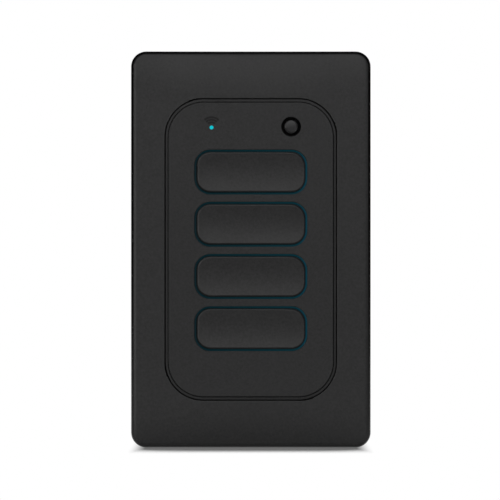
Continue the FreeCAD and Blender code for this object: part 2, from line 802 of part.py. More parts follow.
can = new_body("shield_can", z="can_rise")
nodes.append(can)
can_back = f"({BOARD_BACK} - can_height)"
add(can, "can_shell", rectangle("can_length", "can_width"), can_back, BOARD_BACK)
cut(can, "can_inside", rectangle("can_length - 2 * can_sheet", "can_width - 2 * can_sheet"),
    f"{can_back} + can_sheet", BOARD_BACK)
nodes.append(block("radio_chip", "0", "can_rise", f"{BOARD_BACK} - chip_height",
                   "chip_side", "chip_side", "chip_height"))
crystal_across = "can_length / 2 + part_gap + crystal_length / 2"
nodes.append(block("crystal", crystal_across, "can_rise", f"{BOARD_BACK} - crystal_height",
                   "crystal_length", "crystal_width", "crystal_height"))
capacitor_row = "can_rise - can_width / 2 - part_gap - capacitor_width / 2"
nodes.append(group("chip_capacitors", [
    block(f"capacitor_{spot}", f"{spot - (CAPACITORS + 1) / 2} * capacitor_pitch", capacitor_row,
          f"{BOARD_BACK} - capacitor_height", "capacitor_length", "capacitor_width", "capacitor_height")
    for spot in range(1, CAPACITORS + 1)
]))
nodes.append(block("control_chip", "-control_across", f"{KEYS_TOP} - 2 * key_pitch", BOARD_FRONT,
                   "control_side", "control_side", "chip_height"))
nodes.append(block("chip_antenna", "0", f"{CAVITY_END} - antenna_inset", BOARD_FRONT,
                   "antenna_length", "antenna_width", "antenna_height"))

# Fascia: moulded front with a sunk ring, four pill openings, guide pins and screw bosses

fascia = new_body("fascia")
nodes.append(fascia)
field_width = "(panel_width - 2 * ring_side)"
field_height = f"({PANEL_HEIGHT} - 2 * ring_end)"
field_outline = rounded(field_width, field_height, "field_corner")
opening_outline = rounded("cap_width + 2 * halo_gap", OPENING_HEIGHT, "cap_corner + halo_gap")
flange_side = "(cap_width / 2 + halo_gap + flange_overlap)"
pin_across = f"({flange_side} + pin_reach)"
pins = [(f"-{pin_across}", "0"), (pin_across, "0")]
add(fascia, "panel", rounded("panel_width", PANEL_HEIGHT, "panel_corner"), RING_BACK, RING_FRONT)
round_edges(fascia, "ring_edge", "ring_edge", lambda edge: at_depth(edge, RING_FRONT))
add(fascia, "field", field_outline, RING_FRONT, FIELD_FRONT)
cut(fascia, "hollow", cavity_outline, RING_BACK, FIELD_BACK)
first_opening = cut(fascia, "key_opening", opening_outline, FIELD_BACK, FIELD_FRONT, z=key_height(1))
first_pins = add(fascia, "guide_pins", circles("pin_radius", pins),
                 f"{FLANGE_BACK} - pin_extra", FIELD_BACK, z=key_height(1))
row = repeat(fascia, "key_row", [first_opening, first_pins], "LinearPattern",
             origin_axis(fascia, "Z_Axis"), len(KEYS), "Length", f"{len(KEYS) - 1} * key_pitch")
row.Reversed = True
round_edges(fascia, "field_edge", "field_edge", lambda edge: at_depth(edge, FIELD_FRONT))
cut(fascia, "foot_groove", together(
    rounded(f"{field_width} + 2 * groove_width", f"{field_height} + 2 * groove_width",
            "field_corner + groove_width"),
    field_outline,
), f"{RING_FRONT} - groove_depth", RING_FRONT)
cut(fascia, "pair_opening", circle("pair_radius + pair_gap"),
    FIELD_BACK, FIELD_FRONT, x="pair_across", z=pair_height)
cut(fascia, "lens_opening", circle("lens_radius + lens_play"), FIELD_BACK, FIELD_FRONT,
    x="-status_across", z=status_height)
add(fascia, "bosses", circles("pillar_radius", pillars), BOARD_FRONT, FIELD_BACK)
cut(fascia, "pilot_holes", circles("screw_radius + screw_play", pillars),
    BOARD_FRONT, f"{BOARD_FRONT} + screw_bite + pilot_play")

# Keys: an opaque dished cap on a translucent carrier that runs behind the fascia

cap_outline = rounded("cap_width", CAP_HEIGHT, "cap_corner")
plug_width = "cap_width - 2 * cap_wall"
plug_height = f"{CAP_HEIGHT} - 2 * cap_wall"
plug_corner = "cap_corner - cap_wall"
plug_front = f"({CAP_BACK} + plug_lift)"
pipe_back = f"({BOARD_FRONT} + lamp_height + key_travel + pipe_play)"
dish_radius = f"((({CAP_HEIGHT} / 2)^2 + dish_depth^2) / (2 * dish_depth))"
dish_bottom = f"({CAP_FRONT} - dish_depth)"
for key in KEYS:
    skirt = new_body(f"halo_skirt_{key}", z=key_height(key))
    nodes.append(skirt)
    add(skirt, "flange", rounded(f"2 * {flange_side}", "key_pitch - flange_spacing",
                                 "cap_corner + halo_gap + flange_overlap"), FLANGE_BACK, FLANGE_FRONT)
    add(skirt, "ears", rounded(f"2 * ({flange_side} + ear_reach)", "ear_height", "ear_corner"),
        FLANGE_BACK, FLANGE_FRONT)
    cut(skirt, "pin_holes", circles("pin_radius + pin_play", pins), FLANGE_BACK, FLANGE_FRONT)
    add(skirt, "step", cap_outline, FLANGE_FRONT, CAP_BACK)
    add(skirt, "plug", rounded(plug_width, plug_height, plug_corner), CAP_BACK, plug_front)
    add(skirt, "post", circle("post_radius"), PLUNGER_FRONT, FLANGE_BACK)
    add(skirt, "light_pipe", rounded("pipe_length", "pipe_width", "pipe_corner"), pipe_back, FLANGE_BACK,
        x=LAMP_SIDE)

    cap = new_body(f"button_cap_{key}", z=key_height(key))
    nodes.append(cap)
    add(cap, "cap_block", cap_outline, CAP_BACK, f"{CAP_FRONT} + dish_depth")
    dish = draft_on(cap, "dish_section", "YZ_Plane")
    circle(dish_radius, x=f"-({dish_bottom} + {dish_radius})")(dish)
    hollow = cap.newObject("PartDesign::Pocket", "dish")
    hollow.Profile = dish
    hollow.SideType = "Symmetric"
    bind(hollow, "Length", "2 * cap_width")
    round_edges(cap, "cap_edge", "cap_edge", lambda edge: all(
        -vertex.Y > number(dish_bottom) - CLOSE for vertex in edge.Vertexes))
    cut(cap, "socket", rounded(
        f"{plug_width} + 2 * plug_play", f"{plug_height} + 2 * plug_play", f"{plug_corner} + plug_play",
    ), CAP_BACK, f"{plug_front} + plug_play")

# Pairing button: turned form with a domed top, a flange behind the fascia and a post

pair = new_body("pair_button")
nodes.append(pair)
pair_rim = f"({FIELD_FRONT} - pair_sink)"
turn(pair, "pair_form", [
    (PLUNGER_FRONT, "0"),
    (PLUNGER_FRONT, "post_radius"),
    (FLANGE_BACK, "post_radius"),
    (FLANGE_BACK, "pair_radius + pair_gap + pair_flange"),
    (FLANGE_FRONT, "pair_radius + pair_gap + pair_flange"),
    (FLANGE_FRONT, "pair_radius"),
    (pair_rim, "pair_radius"),
    (f"{pair_rim} + pair_dome", "0", "(pair_radius^2 + pair_dome^2) / (2 * pair_dome)"),
], "Revolution", x="pair_across", z=pair_height)
round_edges(pair, "pair_edge", "pair_edge", lambda edge: at_depth(edge, pair_rim))

# Status lens: light pipe from the lamp to the fascia

lens = new_body("status_lens")
nodes.append(lens)
stem_back = f"({BOARD_FRONT} + lamp_height + stem_play)"
turn(lens, "lens_form", [
    (stem_back, "0"),
    (stem_back, "stem_radius"),
    (f"{FIELD_BACK} - shoulder_length", "stem_radius"),
    (f"{FIELD_BACK} - shoulder_length", "shoulder_radius"),
    (FIELD_BACK, "shoulder_radius"),
    (FIELD_BACK, "lens_radius"),
    (FIELD_FRONT, "lens_radius"),
    (FIELD_FRONT, "0"),
], "Revolution", x="-status_across", z=status_height)

# Housing screws: pan heads in the housing's bores, threaded into the fascia's bosses

screws = []
head_back = f"({FLOOR_BACK} + head_sink)"
head_front = f"({head_back} + head_height)"
recesses = (("level", "recess_length", "recess_width"), ("upright", "recess_width", "recess_length"))
for index, (x, z) in enumerate(pillars, 1):
    head = rod(f"screw_head_{index}", x, z, head_back, "head_radius", "head_height")
    shank = rod(f"screw_shank_{index}", x, z, head_front,
                "screw_radius", f"{BOARD_FRONT} + screw_bite - {head_front}")
    screw = document.addObject("Part::Fuse", f"screw_blank_{index}")
    screw.Base = head
    screw.Tool = shank
    for name, length, width in recesses:
        slot = block(f"recess_{name}_{index}", x, z, head_back, length, width, "recess_depth")
        screw = subtract(f"screw_{name}_{index}", screw, slot)
    screws.append(screw)
nodes.append(group("housing_screws", screws))

# Face plate: drafted shell with crowned ends, a window, snap hooks and stops inside, and a pry notch

plate = new_body("face_plate")
nodes.append(plate)
plate_inside_front = "(plate_depth - plate_front)"
window_width = "(panel_width + 2 * panel_gap)"
window_height = f"({PANEL_HEIGHT} + 2 * panel_gap)"
window_corner = "(panel_corner + panel_gap)"
window_outline = rounded(window_width, window_height, window_corner)
crown_start = f"({window_height} / 2 + window_edge + crown_margin)"
crown_reach = f"(plate_height / 2 - {crown_start})"
crown_radius = f"(({crown_reach}^2 + crown_drop^2) / (2 * crown_drop))"
crown_end = f"(crown_arc - {crown_reach} - overrun)"


def near_rim(edge):
    """Whether an edge runs along the front rim of the slab."""
    corner = number("plate_corner")
    middle = edge.valueAt((edge.FirstParameter + edge.LastParameter) / 2)
    over_x = abs(middle.x) - number("plate_width") / 2 + corner
    over_z = abs(middle.z) - number("plate_height") / 2 + corner
    inside = corner - (math.hypot(over_x, over_z) if min(over_x, over_z) > 0 else max(over_x, over_z))
    back = number("plate_depth - 2 * crown_drop")
    return inside < corner / 4 and all(-vertex.Y > back for vertex in edge.Vertexes)


def near_window(edge):
    reach_x = number(window_width) / 2 + CLOSE
    reach_z = number(window_height) / 2 + CLOSE
    return at_depth(edge, "plate_depth") and all(
        abs(vertex.X) < reach_x and abs(vertex.Z) < reach_z for vertex in edge.Vertexes)


add(plate, "slab", rounded("plate_width", "plate_height", "plate_corner"), "wall_gap", "plate_depth",
    draft="plate_draft")
for end in (-1, 1):
    turn(plate, "crown", [
        ("plate_depth", "crown_arc", f"-{crown_radius}"),
        ("plate_depth + overrun", "crown_arc"),
        ("plate_depth + overrun", crown_end),
        (f"plate_depth - {crown_radius} + sqrt({crown_radius}^2 - ({crown_reach} + overrun)^2)", crown_end),
    ], "Groove", z=f"{end} * ({crown_start} + crown_arc)")
round_edges(plate, "plate_edge", "plate_edge", near_rim)
cut(plate, "window", window_outline, "wall_gap", "plate_depth")
round_edges(plate, "window_edge", "window_edge", near_window)
cut(plate, "inside", rounded("plate_width - 2 * plate_wall", "plate_height - 2 * plate_wall",
                             "plate_corner - plate_wall"), "wall_gap", plate_inside_front)
add(plate, "window_lip", together(
    rounded(f"{window_width} + 2 * lip_wall", f"{window_height} + 2 * lip_wall",
            f"{window_corner} + lip_wall"),
    window_outline,
), f"{plate_inside_front} - lip_length", plate_inside_front)
hook_front = f"({catch_back} - snap_gap)"
for side, end in CORNERS:
    hook = [
        (f"{PLATE_INSIDE} + plate_wall / 2", f"{hook_front} - hook_length"),
        (PLATE_INSIDE, f"{hook_front} - hook_length"),
        (f"{PLATE_INSIDE} - hook_reach", f"{hook_front} - hook_land"),
        (f"{PLATE_INSIDE} - hook_reach", hook_front),
        (f"{PLATE_INSIDE} + plate_wall / 2", hook_front),
    ]
    add_across(plate, "hook", [(f"{side} * ({x})", depth) for x, depth in hook],
               "snap_width", f"{end} * snap_rise")
    add(plate, "stop", rectangle("stop_reach + plate_wall / 2", "stop_wall"),
        f"{rim_front} + stop_gap", plate_inside_front,
        x=f"{side} * ({PLATE_INSIDE} + plate_wall / 4 - stop_reach / 2)", z=f"{end} * stop_rise")
cut(plate, "pry_notch", rectangle("pry_width", "2 * (plate_wall + overrun)"),
    "wall_gap", "wall_gap + pry_depth", z="-plate_height / 2")

document.recompute()

for item in document.Objects:
    if "Invalid" in item.State or "Error" in item.State:
        raise RuntimeError(f"{item.Name} did not build: {item.getStatusString()}")
for node in nodes:
    if node.Shape.isNull() or not node.Shape.isValid():
        raise RuntimeError(f"{node.Name} has no valid shape")

os.makedirs("parts", exist_ok=True)
for node in nodes:
    node.Shape.exportStep(os.path.join("parts", f"{node.Label}.step"))
    print(node.Label, len(node.Shape.Solids), round(node.Shape.Volume, 2))
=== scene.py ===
import math

import bmesh
import bpy
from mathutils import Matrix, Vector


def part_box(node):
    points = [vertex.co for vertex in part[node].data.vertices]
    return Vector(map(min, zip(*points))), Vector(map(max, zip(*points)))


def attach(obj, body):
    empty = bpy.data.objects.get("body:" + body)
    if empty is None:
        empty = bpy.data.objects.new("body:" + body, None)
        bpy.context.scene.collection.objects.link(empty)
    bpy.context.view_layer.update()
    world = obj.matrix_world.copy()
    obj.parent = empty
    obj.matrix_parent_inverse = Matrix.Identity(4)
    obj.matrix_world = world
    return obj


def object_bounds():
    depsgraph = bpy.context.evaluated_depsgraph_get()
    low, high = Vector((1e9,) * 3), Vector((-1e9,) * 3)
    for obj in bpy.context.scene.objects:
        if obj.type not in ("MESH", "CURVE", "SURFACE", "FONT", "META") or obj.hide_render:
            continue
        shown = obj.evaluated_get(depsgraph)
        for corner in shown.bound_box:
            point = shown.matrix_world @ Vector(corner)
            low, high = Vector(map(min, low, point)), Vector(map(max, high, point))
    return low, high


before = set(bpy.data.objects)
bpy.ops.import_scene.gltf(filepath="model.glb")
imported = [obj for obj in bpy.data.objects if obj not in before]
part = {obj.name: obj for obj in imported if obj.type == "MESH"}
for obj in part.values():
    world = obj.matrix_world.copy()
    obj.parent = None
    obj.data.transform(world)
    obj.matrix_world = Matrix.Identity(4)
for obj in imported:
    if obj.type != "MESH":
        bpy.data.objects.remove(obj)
cad_low, cad_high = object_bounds()

# Wall bracket
# The frame that two screws hold to the wall box, moulded in dark grey glass-filled nylon.
# Its faces keep the fine pits of a spark-eroded mould, and its rim has the catches for the face plate.


def place(tree, kind, sockets, **settings):
    """Add a shader node with its settings, and with a value or a wire for each socket named."""
    node = tree.nodes.new(kind)
    for field, value in settings.items():
        setattr(node, field, value)
    for socket, value in sockets.items():
        if isinstance(value, bpy.types.NodeSocket):
            tree.links.new(value, node.inputs[socket])
        else:
            node.inputs[socket].default_value = value
    return node


def reckon(tree, operation, *values):
    """Add a Math node over numbers or wires, and return its result."""
    return place(tree, "ShaderNodeMath", dict(enumerate(values)), operation=operation).outputs[0]


def mix_colours(tree, share, first, second):
    """Add a Mix node for two colours, its sockets 6 and 7. Share is how much it takes of the second."""
    return place(tree, "ShaderNodeMix", {
        "Factor": share, 6: first, 7: second,
    }, data_type="RGBA").outputs[2]


def part_place(tree):
    """Add a Texture Coordinate node, and return the point's place in the part's frame, in metres."""
    return place(tree, "ShaderNodeTexCoord", {}).outputs["Object"]


def effect(name, takes, gives):
    """Start a node group and return its tree, the sockets it takes and the node it gives to."""
    tree = bpy.data.node_groups.new(name, "ShaderNodeTree")
    for socket, kind in takes.items():
        tree.interface.new_socket(socket, in_out="INPUT", socket_type=f"NodeSocket{kind}")
    for socket, kind in gives.items():
        tree.interface.new_socket(socket, in_out="OUTPUT", socket_type=f"NodeSocket{kind}")
    return tree, tree.nodes.new("NodeGroupInput").outputs, tree.nodes.new("NodeGroupOutput")


# Moulded skin: the fine pits that a spark-eroded tool leaves, with faint clouds of tone and sheen
mould_skin, given, result = effect(
    "mould_skin",
    {"Tone": "Color", "Pale tone": "Color", "Grains per metre": "Float", "Sheen": "Float"},
    {"Colour": "Color", "Roughness": "Float", "Height": "Float"},
)
pits_to_a_grain = 0.7
pit_relief = 0.6
clouds_per_metre = 70.0
grain_contrast = 1.9
grain_offset = -0.55
cloud_contrast = 0.2
grain_dulling = 0.16
cloud_polish = -0.12
where = part_place(mould_skin)
grain = place(mould_skin, "ShaderNodeTexNoise", {
    "Vector": where, "Scale": given["Grains per metre"], "Detail": 3.0, "Roughness": 0.6,
}).outputs["Fac"]
pits_per_metre = reckon(mould_skin, "MULTIPLY", given["Grains per metre"], pits_to_a_grain)
pits = place(mould_skin, "ShaderNodeTexVoronoi", {
    "Vector": where, "Scale": pits_per_metre, "Smoothness": 0.6,
}, feature="SMOOTH_F1").outputs["Distance"]
clouds = place(mould_skin, "ShaderNodeTexNoise", {
    "Vector": where, "Scale": clouds_per_metre, "Detail": 2.0,
}).outputs["Fac"]
grain_tone = reckon(mould_skin, "MULTIPLY_ADD", grain, grain_contrast, grain_offset)
pale_share = reckon(mould_skin, "MULTIPLY_ADD", clouds, cloud_contrast, grain_tone)
skin_colour = mix_colours(mould_skin, pale_share, given["Tone"], given["Pale tone"])
grain_sheen = reckon(mould_skin, "MULTIPLY_ADD", grain, grain_dulling, given["Sheen"])
skin_sheen = reckon(mould_skin, "MULTIPLY_ADD", clouds, cloud_polish, grain_sheen)
skin_height = reckon(mould_skin, "MULTIPLY_ADD", pits, pit_relief, grain)
mould_skin.links.new(skin_colour, result.inputs["Colour"])
mould_skin.links.new(skin_sheen, result.inputs["Roughness"])
mould_skin.links.new(skin_height, result.inputs["Height"])


def new_material(name):
    """Start a material and return it with its tree and its shader."""
    material = bpy.data.materials.new(name)
    material.use_nodes = True
    shader = material.node_tree.nodes["Principled BSDF"]
    return material, material.node_tree, shader


def skinned(name, skin_effect, values, relief):
    """Start a material with the skin of a node group, and return it with its shader."""
    material, tree, shader = new_material(name)
    skin = place(tree, "ShaderNodeGroup", values, node_tree=skin_effect)
    bump = place(tree, "ShaderNodeBump", {
        "Strength": 1.0, "Distance": relief, "Height": skin.outputs["Height"],
    })
    tree.links.new(skin.outputs["Colour"], shader.inputs["Base Color"])
    tree.links.new(skin.outputs["Roughness"], shader.inputs["Roughness"])
    tree.links.new(bump.outputs["Normal"], shader.inputs["Normal"])
    return material, shader


def moulded(name, tone, pale_tone, grains, sheen, gloss, relief):
    """A moulded plastic: gloss is its specular level, relief the depth of its grain in metres."""
    material, shader = skinned(name, mould_skin, {
        "Tone": (*tone, 1), "Pale tone": (*pale_tone, 1), "Grains per metre": grains, "Sheen": sheen,
    }, relief)
    shader.inputs["Specular IOR Level"].default_value = gloss
    return material


def finish(material, *names):
    """Give a material to pieces of the frame."""
    for name in names:
        part[name].data.materials.clear()
        part[name].data.materials.append(material)


bracket_nylon = moulded(
    "bracket_nylon", (0.05, 0.05, 0.053), (0.08, 0.08, 0.084),
    grains=1500.0, sheen=0.55, gloss=0.35, relief=0.00005,
)
finish(bracket_nylon, "wall_bracket")

# Rear housing
# The tray behind the fascia that holds the board, the coin cell and the wall screws' bays.
# It is moulded in black plastic with the same eroded skin, a little finer than the bracket's.

housing_plastic = moulded(
    "housing_plastic", (0.02, 0.02, 0.021), (0.034, 0.034, 0.036),
    grains=1900.0, sheen=0.5, gloss=0.35, relief=0.00004,
)
finish(housing_plastic, "rear_housing")

# Battery door
# A round cover on a three-lug bayonet, turned with a coin, moulded in the housing's plastic.
# A raised plus sign on its face shows which way up the cell goes in.

finish(housing_plastic, "battery_door")


def raised_shape(name, outlines, back, front):
    """A flat raised shape: closed outlines of (x, z), filled between two places on Y."""
    form = bmesh.new()
    for outline in outlines:
        face = form.faces.new([form.verts.new((x, back, z)) for x, z in outline])
        raised = bmesh.ops.extrude_face_region(form, geom=[face])
        corners = [item for item in raised["geom"] if isinstance(item, bmesh.types.BMVert)]
        bmesh.ops.translate(form, verts=corners, vec=(0, front - back, 0))
    bmesh.ops.recalc_face_normals(form, faces=form.faces)
    mesh = bpy.data.meshes.new(name)
    form.to_mesh(mesh)
    form.free()
    piece = bpy.data.objects.new(name, mesh)
    bpy.context.scene.collection.objects.link(piece)
    return piece


door_low, door_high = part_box("battery_door")
door_face = door_high.y
sign_rise = 0.0062
sign_middle = (door_low.z + door_high.z) / 2 + sign_rise
sign_arm = 0.0014
sign_half = 0.0003
sign_root = 0.0002
sign_height = 0.00008
arm_corners = [(-sign_arm, -sign_half), (-sign_half, -sign_half), (-sign_half, -sign_arm)]
sign_outline = []
for quarter in range(4):
    sign_outline += [(x, sign_middle + z) for x, z in arm_corners]
    arm_corners = [(-z, x) for x, z in arm_corners]
plus_sign = raised_shape("plus_sign", [sign_outline], door_face - sign_root, door_face + sign_height)
plus_sign.data.materials.append(housing_plastic)
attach(plus_sign, "door")

# Coin cell, contacts and housing screws
# The cell's can and the contact strips are nickel-plated steel, drawn and bent from sheet.
# The four pan-head screws are headed from steel wire and plated in the same way.

# Drawn steel: fine lines along one axis, left by rolling and drawing
drawn_lines, given, result = effect(
    "drawn_lines",
    {"Tone": "Color", "Pale tone": "Color", "Lines per metre": "Float", "Sheen": "Float"},
    {"Colour": "Color", "Roughness": "Float", "Height": "Float"},
)
line_stretch = (0.04, 1.0, 1.0)
line_depth = 0.000004
line_dulling = 0.2
stains_per_metre = 260.0
where = part_place(drawn_lines)
stretched = place(drawn_lines, "ShaderNodeMapping", {"Vector": where, "Scale": line_stretch}).outputs[0]
lines = place(drawn_lines, "ShaderNodeTexNoise", {
    "Vector": stretched, "Scale": given["Lines per metre"], "Detail": 4.0, "Roughness": 0.55,
}).outputs["Fac"]
stains = place(drawn_lines, "ShaderNodeTexNoise", {
    "Vector": where, "Scale": stains_per_metre, "Detail": 3.0,
}).outputs["Fac"]
metal_colour = mix_colours(drawn_lines, stains, given["Tone"], given["Pale tone"])
metal_sheen = reckon(drawn_lines, "MULTIPLY_ADD", lines, line_dulling, given["Sheen"])
drawn_lines.links.new(metal_colour, result.inputs["Colour"])
drawn_lines.links.new(metal_sheen, result.inputs["Roughness"])
drawn_lines.links.new(lines, result.inputs["Height"])


def plated(name, tone, pale_tone, lines, sheen):
    """A plated sheet metal with drawn lines."""
    material, shader = skinned(name, drawn_lines, {
        "Tone": (*tone, 1), "Pale tone": (*pale_tone, 1), "Lines per metre": lines, "Sheen": sheen,
    }, line_depth)
    shader.inputs["Metallic"].default_value = 1.0
    return material


nickel = plated("nickel_plate", (0.55, 0.54, 0.51), (0.68, 0.67, 0.65), lines=5000.0, sheen=0.16)
finish(nickel, "coin_cell", "negative_contact", "positive_contact", "housing_screws")

# Circuit board
# A thin glass-fibre laminate, green from the solder resist that lies over its copper tracks.
# The weave shows faintly through the resist, and each track stands up from it a little.


def remap(tree, value, start, stop, low=0.0, high=1.0, **settings):
    """Add a Map Range node, which gives low at start and high at stop, and return its result."""
    return place(tree, "ShaderNodeMapRange", {
        "Value": value, "From Min": start, "From Max": stop, "To Min": low, "To Max": high,
    }, **settings).outputs[0]


weave_per_metre = 420.0
tracks_per_metre = 260.0
track_height = 0.00003
board_green, tree, shader = new_material("board_green")
where = part_place(tree)
upright = place(tree, "ShaderNodeMapping", {"Vector": where, "Rotation": (math.pi / 2, 0, 0)}).outputs[0]
weave = place(tree, "ShaderNodeTexBrick", {
    "Vector": upright, "Scale": weave_per_metre, "Mortar Size": 0.06, "Brick Width": 0.5, "Row Height": 0.5,
    "Color1": (0.012, 0.09, 0.045, 1), "Color2": (0.016, 0.105, 0.05, 1), "Mortar": (0.01, 0.075, 0.038, 1),
}).outputs["Color"]
from_track = place(tree, "ShaderNodeTexVoronoi", {
    "Vector": where, "Scale": tracks_per_metre,
}, feature="DISTANCE_TO_EDGE").outputs["Distance"]
off_track = remap(tree, from_track, 0.05, 0.09)
board_tone = mix_colours(tree, off_track, (0.03, 0.16, 0.07, 1), weave)
tree.links.new(board_tone, shader.inputs["Base Color"])
track_edge = place(tree, "ShaderNodeBump", {
    "Strength": 1.0, "Distance": track_height, "Height": off_track,
}, invert=True)
tree.links.new(track_edge.outputs["Normal"], shader.inputs["Normal"])
shader.inputs["Roughness"].default_value = 0.3
finish(board_green, "circuit_board")

# Chips, switches, lamps and the radio's can
# The chips and the switches' cases are moulded in black, the plungers and the lamps' bodies in white.
# The capacitors and the antenna are fired ceramic, the crystal's can is plated and the radio's is tinned.
# All but the plungers are soldered to the board's pads.

# Each key has a switch of its own, and the fifth switch is the pairing button's
keys = range(1, 5)
switches = range(1, 6)
chip_epoxy = moulded(
    "chip_epoxy", (0.012, 0.012, 0.013), (0.022, 0.022, 0.024),
    grains=6000.0, sheen=0.45, gloss=0.4, relief=0.00001,
)
finish(chip_epoxy, "radio_chip", "control_chip", *[f"tact_switch_{switch}" for switch in switches])
plunger_nylon = moulded(
    "plunger_nylon", (0.6, 0.58, 0.52), (0.7, 0.68, 0.62),
    grains=3000.0, sheen=0.4, gloss=0.5, relief=0.00001,
)
finish(plunger_nylon, *[f"tact_plunger_{switch}" for switch in switches])
lamp_body = moulded(
    "lamp_body", (0.7, 0.72, 0.68), (0.8, 0.82, 0.78),
    grains=4000.0, sheen=0.3, gloss=0.5, relief=0.000005,
)
finish(lamp_body, "status_led", *[f"halo_led_{key}" for key in keys])
ceramic = moulded(
    "fired_ceramic", (0.3, 0.22, 0.15), (0.42, 0.33, 0.24),
    grains=5000.0, sheen=0.5, gloss=0.4, relief=0.00001,
)
finish(ceramic, "chip_capacitors", "chip_antenna")
finish(nickel, "crystal")
tin = plated("tinned_sheet", (0.6, 0.6, 0.57), (0.72, 0.72, 0.7), lines=4000.0, sheen=0.25)
finish(tin, "shield_can")

# Fascia
# The black moulded front that carries the keys, with a sunk ring round its raised field.
# It has a fine, even matte skin, and its openings are left sharp by the mould.

fascia_plastic = moulded(
    "fascia_plastic", (0.006, 0.006, 0.0062), (0.015, 0.015, 0.0152),
    grains=1500.0, sheen=0.42, gloss=0.2, relief=0.000017,
)
finish(fascia_plastic, "fascia")


def front_middle(low, high):
    """The middle of a box as seen from the front, in X and Z."""
    return (low.x + high.x) / 2, (low.z + high.z) / 2


top_key_middle = front_middle(*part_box("halo_skirt_1"))[1]
second_key_middle = front_middle(*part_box("halo_skirt_2"))[1]
key_pitch = top_key_middle - second_key_middle
cap_low, cap_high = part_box("button_cap_1")
cap_half_x = (cap_high.x - cap_low.x) / 2
cap_half_z = (cap_high.z - cap_low.z) / 2
cap_corner = 0.0042

# Key outline: how far a place lies outside the nearest cap's outline, and how far below the cap's middle
key_outline, given, result = effect(
    "key_outline", {"Place": "Vector"}, {"Distance": "Float", "Drop": "Float"},
)
axes = place(key_outline, "ShaderNodeSeparateXYZ", {"Vector": given["Place"]}).outputs
below_top = reckon(key_outline, "SUBTRACT", top_key_middle, axes["Z"])
rows_down = reckon(key_outline, "DIVIDE", below_top, key_pitch)
nearest = reckon(key_outline, "ROUND", rows_down)
last_row = len(keys) - 1.0
row = place(key_outline, "ShaderNodeClamp", {"Value": nearest, "Min": 0.0, "Max": last_row}).outputs[0]
drop = reckon(key_outline, "MULTIPLY_ADD", row, -key_pitch, below_top)
overhangs = []
for reach, half in ((axes["X"], cap_half_x), (drop, cap_half_z)):
    aside = reckon(key_outline, "ABSOLUTE", reach)
    over = reckon(key_outline, "SUBTRACT", aside, half - cap_corner)
    overhangs.append(reckon(key_outline, "MAXIMUM", over, 0.0))
from_arc = place(key_outline, "ShaderNodeCombineXYZ", {"X": overhangs[0], "Y": overhangs[1]}).outputs[0]
arc_reach = place(key_outline, "ShaderNodeVectorMath", {0: from_arc}, operation="LENGTH").outputs["Value"]
outside = reckon(key_outline, "SUBTRACT", arc_reach, cap_corner)
key_outline.links.new(outside, result.inputs["Distance"])
key_outline.links.new(drop, result.inputs["Drop"])


def mix_numbers(tree, share, first, second):
    """Add a Mix node for two numbers, its sockets 2 and 3. Share is how much it takes of the second."""
    return place(tree, "ShaderNodeMix", {
        "Factor": share, 2: first, 3: second,
    }, data_type="FLOAT").outputs[0]


# Painted shade: a skin's tone and sheen, taken to a darker tone and another sheen where the mask is 1
painted_shade_effect, given, result = effect(
    "shade",
    {"Mask": "Float", "Colour": "Color", "Roughness": "Float", "Dark tone": "Color", "Dark sheen": "Float"},
    {"Colour": "Color", "Roughness": "Float"},
)
shaded_colour = mix_colours(painted_shade_effect, given["Mask"], given["Colour"], given["Dark tone"])
shaded_sheen = mix_numbers(painted_shade_effect, given["Mask"], given["Roughness"], given["Dark sheen"])
painted_shade_effect.links.new(shaded_colour, result.inputs["Colour"])
painted_shade_effect.links.new(shaded_sheen, result.inputs["Roughness"])


def darken(material, mask, tone=0.0004, sheen=1.0):
    """Paint shade into a moulded material by a mask made in its tree: near black and dull, unless told
    otherwise.
    """
    tree = material.node_tree
    shader = tree.nodes["Principled BSDF"]
    shaded = place(tree, "ShaderNodeGroup", {
        "Mask": mask,
        "Colour": shader.inputs["Base Color"].links[0].from_socket,
        "Roughness": shader.inputs["Roughness"].links[0].from_socket,
        "Dark tone": (tone, tone, tone, 1),
        "Dark sheen": sheen,
    }, node_tree=painted_shade_effect)
    tree.links.new(shaded.outputs["Colour"], shader.inputs["Base Color"])
    tree.links.new(shaded.outputs["Roughness"], shader.inputs["Roughness"])


def from_keys(tree):
    """Place the key outline in a material's tree, and return its sockets."""
    return place(tree, "ShaderNodeGroup", {"Place": part_place(tree)}, node_tree=key_outline).outputs


def along(tree, axis):
    """Add nodes for the point's place along one axis of the part's frame, in metres."""
    return place(tree, "ShaderNodeSeparateXYZ", {"Vector": part_place(tree)}).outputs[axis]


def reckon_vector(tree, operation, *values):
    """Add a Vector Math node over vectors or wires, and return its sockets."""
    return place(tree, "ShaderNodeVectorMath", dict(enumerate(values)), operation=operation).outputs


def from_middle(tree, middle):
    """Add nodes for the way to the point from a middle (x, z), and for how far that is in X and Z alone."""
    way = reckon_vector(tree, "SUBTRACT", part_place(tree), (middle[0], 0.0, middle[1]))["Vector"]
    flat = reckon_vector(tree, "MULTIPLY", way, (1.0, 0.0, 1.0))["Vector"]
    return way, reckon_vector(tree, "LENGTH", flat)["Value"]


fascia_low, fascia_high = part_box("fascia")
fascia_front = fascia_low.y
pair_low, pair_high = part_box("pair_button")
pair_middle = front_middle(pair_low, pair_high)
pair_opening = 0.003
halo_gap = 0.00065
gap_margin = 0.00003
groove_mouth = 0.00096
groove_floor = 0.0012
groove_shade = 0.8
# Painted shade: the key gaps and the pairing button's round gap are painted near black and dull, and the
# depths more than about a millimetre behind the front, down in the groove, are painted most of the way to
# that
tree = fascia_plastic.node_tree
in_key_gap = reckon(tree, "LESS_THAN", from_keys(tree)["Distance"], halo_gap + gap_margin)
pair_radius = from_middle(tree, pair_middle)[1]
in_pair_gap = reckon(tree, "LESS_THAN", pair_radius, pair_opening)
groove_painted_shade = remap(
    tree, along(tree, "Y"), fascia_front + groove_mouth, fascia_front + groove_floor, high=groove_shade,
)
gap_painted_shade = reckon(tree, "MAXIMUM", in_key_gap, in_pair_gap)
darken(fascia_plastic, reckon(tree, "MAXIMUM", gap_painted_shade, groove_painted_shade))

